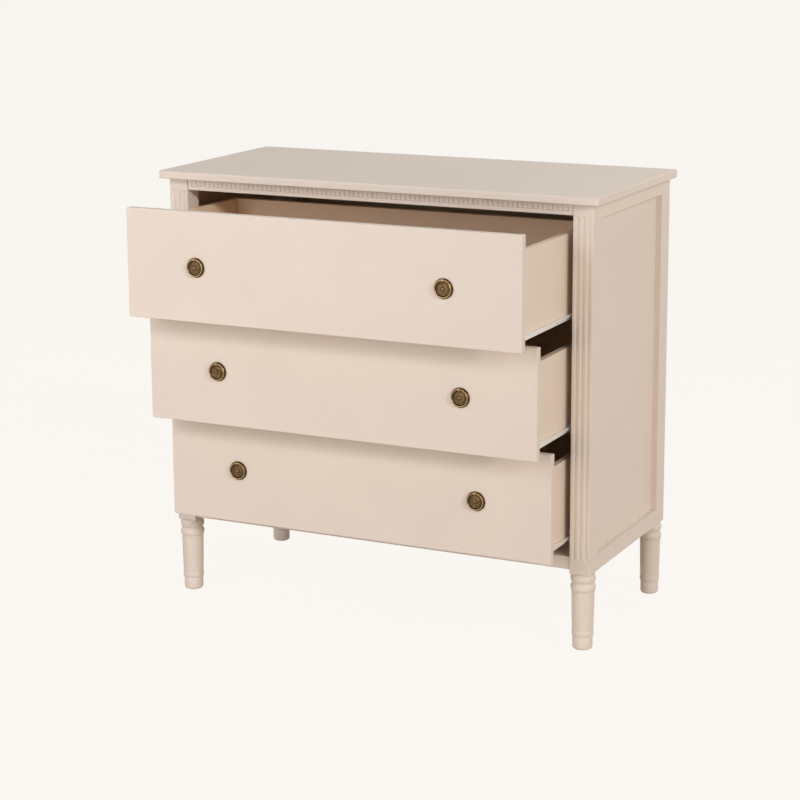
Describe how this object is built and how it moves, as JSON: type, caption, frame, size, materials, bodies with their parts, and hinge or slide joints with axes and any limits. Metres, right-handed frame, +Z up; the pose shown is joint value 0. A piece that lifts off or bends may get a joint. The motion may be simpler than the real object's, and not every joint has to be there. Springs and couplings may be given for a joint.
{
  "type": "chest of drawers",
  "caption": "Painted chest with drawers open on roller slides, ring pulls, fluted posts, a beaded rail and turned legs.",
  "frame": {"origin": "on the floor, at the middle of the box around the chest with its drawers open as stored", "axes": "+X to the right as seen from the front, +Y to the rear, +Z up; the drawers open towards -Y"},
  "size_m": [0.9, 0.6292, 0.84],
  "materials": {
    "paint": "satin beige paint on wood",
    "box_paint": "matt beige paint on wood",
    "board": "unpainted thin board",
    "coated_steel": "light grey powder coat",
    "brass": "aged brass"
  },
  "bodies": {
    "case": {"top_board": "paint", "front_post_left": "paint", "front_post_right": "paint", "rear_post_left": "paint", "rear_post_right": "paint", "front_leg_left": "paint", "front_leg_right": "paint", "rear_leg_left": "paint", "rear_leg_right": "paint", "side_upper_rail_left": "paint", "side_upper_rail_right": "paint", "side_lower_rail_left": "paint", "side_lower_rail_right": "paint", "side_panel_left": "paint", "side_panel_right": "paint", "front_top_rail": "paint", "bead_moulding": "paint", "front_bottom_rail": "paint", "rear_top_rail": "paint", "rear_bottom_rail": "paint", "back_panel": "board", "upper_slide_left": "coated_steel", "upper_slide_right": "coated_steel", "middle_slide_left": "coated_steel", "middle_slide_right": "coated_steel", "lower_slide_left": "coated_steel", "lower_slide_right": "coated_steel"},
    "upper_drawer": {"upper_front": "paint", "upper_side_left": "box_paint", "upper_side_right": "box_paint", "upper_back": "box_paint", "upper_bottom": "board", "upper_runner_left": "coated_steel", "upper_runner_right": "coated_steel", "upper_pull_plate_left": "brass", "upper_pull_plate_right": "brass"},
    "middle_drawer": {"middle_front": "paint", "middle_side_left": "box_paint", "middle_side_right": "box_paint", "middle_back": "box_paint", "middle_bottom": "board", "middle_runner_left": "coated_steel", "middle_runner_right": "coated_steel", "middle_pull_plate_left": "brass", "middle_pull_plate_right": "brass"},
    "lower_drawer": {"lower_front": "paint", "lower_side_left": "box_paint", "lower_side_right": "box_paint", "lower_back": "box_paint", "lower_bottom": "board", "lower_runner_left": "coated_steel", "lower_runner_right": "coated_steel", "lower_pull_plate_left": "brass", "lower_pull_plate_right": "brass"},
    "upper_left_ring": {"upper_pull_ring_left": "brass"},
    "upper_right_ring": {"upper_pull_ring_right": "brass"},
    "middle_left_ring": {"middle_pull_ring_left": "brass"},
    "middle_right_ring": {"middle_pull_ring_right": "brass"},
    "lower_left_ring": {"lower_pull_ring_left": "brass"},
    "lower_right_ring": {"lower_pull_ring_right": "brass"}
  },
  "joints": [
    {"name": "upper_drawer_slide", "type": "slide", "parent": "case", "child": "upper_drawer", "axis": [0, -1, 0], "range_m": [-0.22, 0.05]},
    {"name": "middle_drawer_slide", "type": "slide", "parent": "case", "child": "middle_drawer", "axis": [0, -1, 0], "range_m": [-0.151, 0.119]},
    {"name": "lower_drawer_slide", "type": "slide", "parent": "case", "child": "lower_drawer", "axis": [0, -1, 0], "range_m": [-0.083, 0.187]},
    {"name": "upper_left_ring_hinge", "type": "hinge", "parent": "upper_drawer", "child": "upper_left_ring", "pos_m": [-0.247, -0.31125, 0.7137], "axis": [-1, 0, 0], "range_deg": [0, 170]},
    {"name": "upper_right_ring_hinge", "type": "hinge", "parent": "upper_drawer", "child": "upper_right_ring", "pos_m": [0.247, -0.31125, 0.7137], "axis": [-1, 0, 0], "range_deg": [0, 170]},
    {"name": "middle_left_ring_hinge", "type": "hinge", "parent": "middle_drawer", "child": "middle_left_ring", "pos_m": [-0.247, -0.24225, 0.5072], "axis": [-1, 0, 0], "range_deg": [0, 170]},
    {"name": "middle_right_ring_hinge", "type": "hinge", "parent": "middle_drawer", "child": "middle_right_ring", "pos_m": [0.247, -0.24225, 0.5072], "axis": [-1, 0, 0], "range_deg": [0, 170]},
    {"name": "lower_left_ring_hinge", "type": "hinge", "parent": "lower_drawer", "child": "lower_left_ring", "pos_m": [-0.247, -0.17425, 0.3007], "axis": [-1, 0, 0], "range_deg": [0, 170]},
    {"name": "lower_right_ring_hinge", "type": "hinge", "parent": "lower_drawer", "child": "lower_right_ring", "pos_m": [0.247, -0.17425, 0.3007], "axis": [-1, 0, 0], "range_deg": [0, 170]}
  ]
}
